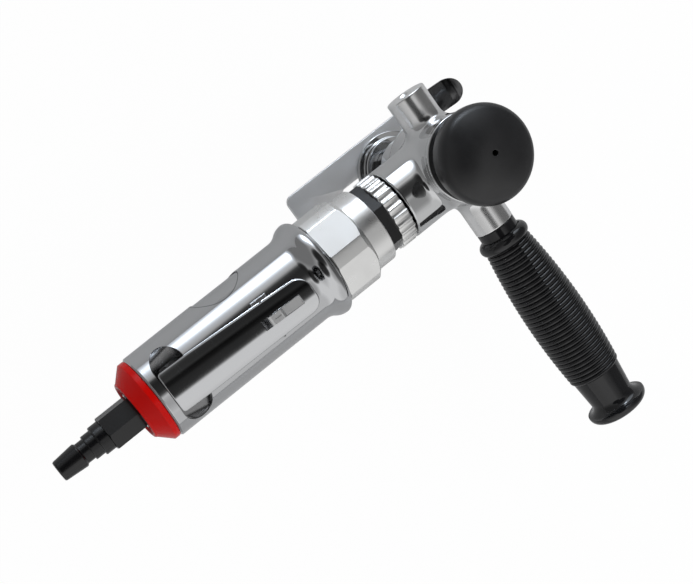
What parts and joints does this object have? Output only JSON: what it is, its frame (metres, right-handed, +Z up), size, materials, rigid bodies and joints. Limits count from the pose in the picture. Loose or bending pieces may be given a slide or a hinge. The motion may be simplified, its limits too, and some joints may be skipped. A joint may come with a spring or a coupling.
{
  "type": "pneumatic jigsaw",
  "caption": "Barrel-bodied pneumatic jigsaw with throttle lever and latch, vane motor and planetary gear, crank-driven plunger head, forked shoe, palm knob and ribbed side handle",
  "frame": {"origin": "where the plunger axis meets the underside of the shoe", "axes": "+X points forward from the air plug to the toes, +Z up from the shoe to the palm knob, and the side handle points to -Y"},
  "size_m": [0.3115, 0.2056, 0.1427],
  "materials": {
    "polished_steel": "mirror polished",
    "satin_aluminium": "satin turned",
    "dark_steel": "blackened, satin",
    "red_paint": "gloss red",
    "black_plastic": "satin black",
    "black_gloss_plastic": "gloss black",
    "plate_steel": "ground plate",
    "bright_steel": "ground",
    "spring_steel": "drawn wire",
    "bronze": "turned bronze",
    "black_rubber": "matt",
    "vane_composite": "laminated composite",
    "silencer_felt": "felt"
  },
  "bodies": {
    "tool": {"air_plug": "dark_steel", "carrier_bearing": "bright_steel", "cylinder_liner": "bright_steel", "exhaust_silencer": "silencer_felt", "foot_sleeve": "polished_steel", "front_bearing": "bright_steel", "front_end_plate": "bright_steel", "gear_case": "satin_aluminium", "handle_grip": "black_gloss_plastic", "handle_stud": "bright_steel", "head_housing": "polished_steel", "inlet_bushing": "bright_steel", "lever_pin": "bright_steel", "locating_pin": "bright_steel", "lock_hexagon": "dark_steel", "lower_bush": "bronze", "motor_housing": "polished_steel", "nose_bearing": "bright_steel", "palm_knob": "black_plastic", "rear_bearing": "bright_steel", "rear_end_plate": "bright_steel", "rear_exhaust_cap": "red_paint", "ring_gear": "bright_steel", "seam_ring": "black_rubber", "shoe": "plate_steel", "shoe_collar": "polished_steel", "shoe_screws": "bright_steel", "top_cover": "polished_steel", "union_ring": "satin_aluminium", "upper_bush": "bronze", "valve_bush": "bronze", "valve_spring": "spring_steel", "wiper_seal": "black_rubber"},
    "lever": {"throttle_lever": "polished_steel", "latch_pin": "bright_steel", "latch_spring": "spring_steel"},
    "latch": {"safety_latch": "bright_steel"},
    "valve": {"valve_stem": "bright_steel"},
    "rotor": {"rotor": "bright_steel", "rotor_vanes": "vane_composite", "sun_pinion": "bright_steel"},
    "carrier": {"planet_carrier": "bright_steel", "planet_pins": "bright_steel", "crank_disc": "bright_steel"},
    "planet_1": {"planet_gear_1": "bright_steel"},
    "planet_2": {"planet_gear_2": "bright_steel"},
    "planet_3": {"planet_gear_3": "bright_steel"},
    "roller": {"crank_roller": "bright_steel"},
    "plunger": {"plunger": "bright_steel", "clamp_screws": "bright_steel"}
  },
  "joints": [
    {"name": "lever_hinge", "type": "hinge", "parent": "tool", "child": "lever", "pos_m": [-0.1827, 0, 0.103], "axis": [0, 1, 0], "range_deg": [0, 10.2], "stiffness_Nm_per_rad": 0.38, "springref_deg": -6.88},
    {"name": "latch_hinge", "type": "hinge", "parent": "lever", "child": "latch", "pos_m": [-0.13147, 0, 0.11825], "axis": [0, -1, 0], "range_deg": [0, 90], "stiffness_Nm_per_rad": 0.01},
    {"name": "valve_slide", "type": "slide", "parent": "tool", "child": "valve", "axis": [0, 0, -1], "range_m": [0, 0.0045], "deforming": ["valve_spring"]},
    {"name": "rotor_spin", "type": "hinge", "parent": "tool", "child": "rotor", "pos_m": [0, 0, 0.0855], "axis": [1, 0, 0], "range_deg": [-310.5, 310.5]},
    {"name": "carrier_spin", "type": "hinge", "parent": "tool", "child": "carrier", "pos_m": [0, 0, 0.0855], "axis": [1, 0, 0], "range_deg": [-69, 69]},
    {"name": "planet_spin_1", "type": "hinge", "parent": "carrier", "child": "planet_1", "pos_m": [-0.0787, 0.00945, 0.0855], "axis": [1, 0, 0], "range_deg": [-200, 200]},
    {"name": "planet_spin_2", "type": "hinge", "parent": "carrier", "child": "planet_2", "pos_m": [-0.0787, -0.00473, 0.09368], "axis": [1, 0, 0], "range_deg": [-200, 200]},
    {"name": "planet_spin_3", "type": "hinge", "parent": "carrier", "child": "planet_3", "pos_m": [-0.0787, -0.00473, 0.07732], "axis": [1, 0, 0], "range_deg": [-200, 200]},
    {"name": "roller_spin", "type": "hinge", "parent": "carrier", "child": "roller", "pos_m": [0, 0.01, 0.0855], "axis": [1, 0, 0], "continuous": true},
    {"name": "plunger_slide", "type": "slide", "parent": "tool", "child": "plunger", "axis": [0, 0, 1], "range_m": [-0.01, 0.01]}
  ],
  "couplings": [
    {"joint": "latch_hinge", "follows": "lever_hinge", "ratio": 8.823},
    {"joint": "valve_slide", "follows": "lever_hinge", "m_per_rad": 0.025268},
    {"joint": "carrier_spin", "follows": "rotor_spin", "ratio": 0.22222},
    {"joint": "plunger_slide", "follows": "rotor_spin", "m_per_rad": 0.0018448},
    {"joint": "planet_spin_1", "follows": "rotor_spin", "ratio": -0.62222},
    {"joint": "planet_spin_2", "follows": "rotor_spin", "ratio": -0.62222},
    {"joint": "planet_spin_3", "follows": "rotor_spin", "ratio": -0.62222}
  ]
}
